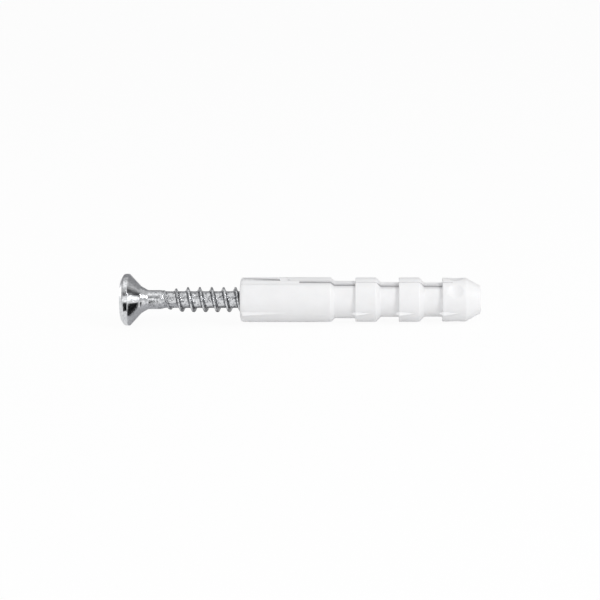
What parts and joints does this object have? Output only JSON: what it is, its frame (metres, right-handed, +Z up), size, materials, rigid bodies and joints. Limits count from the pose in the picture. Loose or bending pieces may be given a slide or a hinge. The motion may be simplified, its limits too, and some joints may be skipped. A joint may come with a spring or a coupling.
{
  "type": "wall plug with screw",
  "caption": "Ribbed nylon wall plug lying on its side, with a countersunk cross-recess wood screw started half-way into its mouth.",
  "frame": {"origin": "on the ground below the middle of the pair's box, as it lies on its side", "axes": "+X along the screw and plug, from the screw's head to the plug's nose (0.71 degrees nose down, as it lies); +Z up; -Y is the side the picture is taken from"},
  "size_m": [0.0602, 0.0086, 0.0087],
  "materials": {
    "screw": "bright zinc-plated steel, cold-headed and rolled",
    "wall_plug": "injection-moulded white nylon, satin"
  },
  "bodies": {
    "plug": {"wall_plug": "wall_plug"},
    "screw": {"screw": "screw"}
  },
  "joints": [
    {"name": "screw_feed", "type": "slide", "parent": "plug", "child": "screw", "axis": [0.9999, 0, -0.0124], "range_m": [-0.024, 0]}
  ]
}
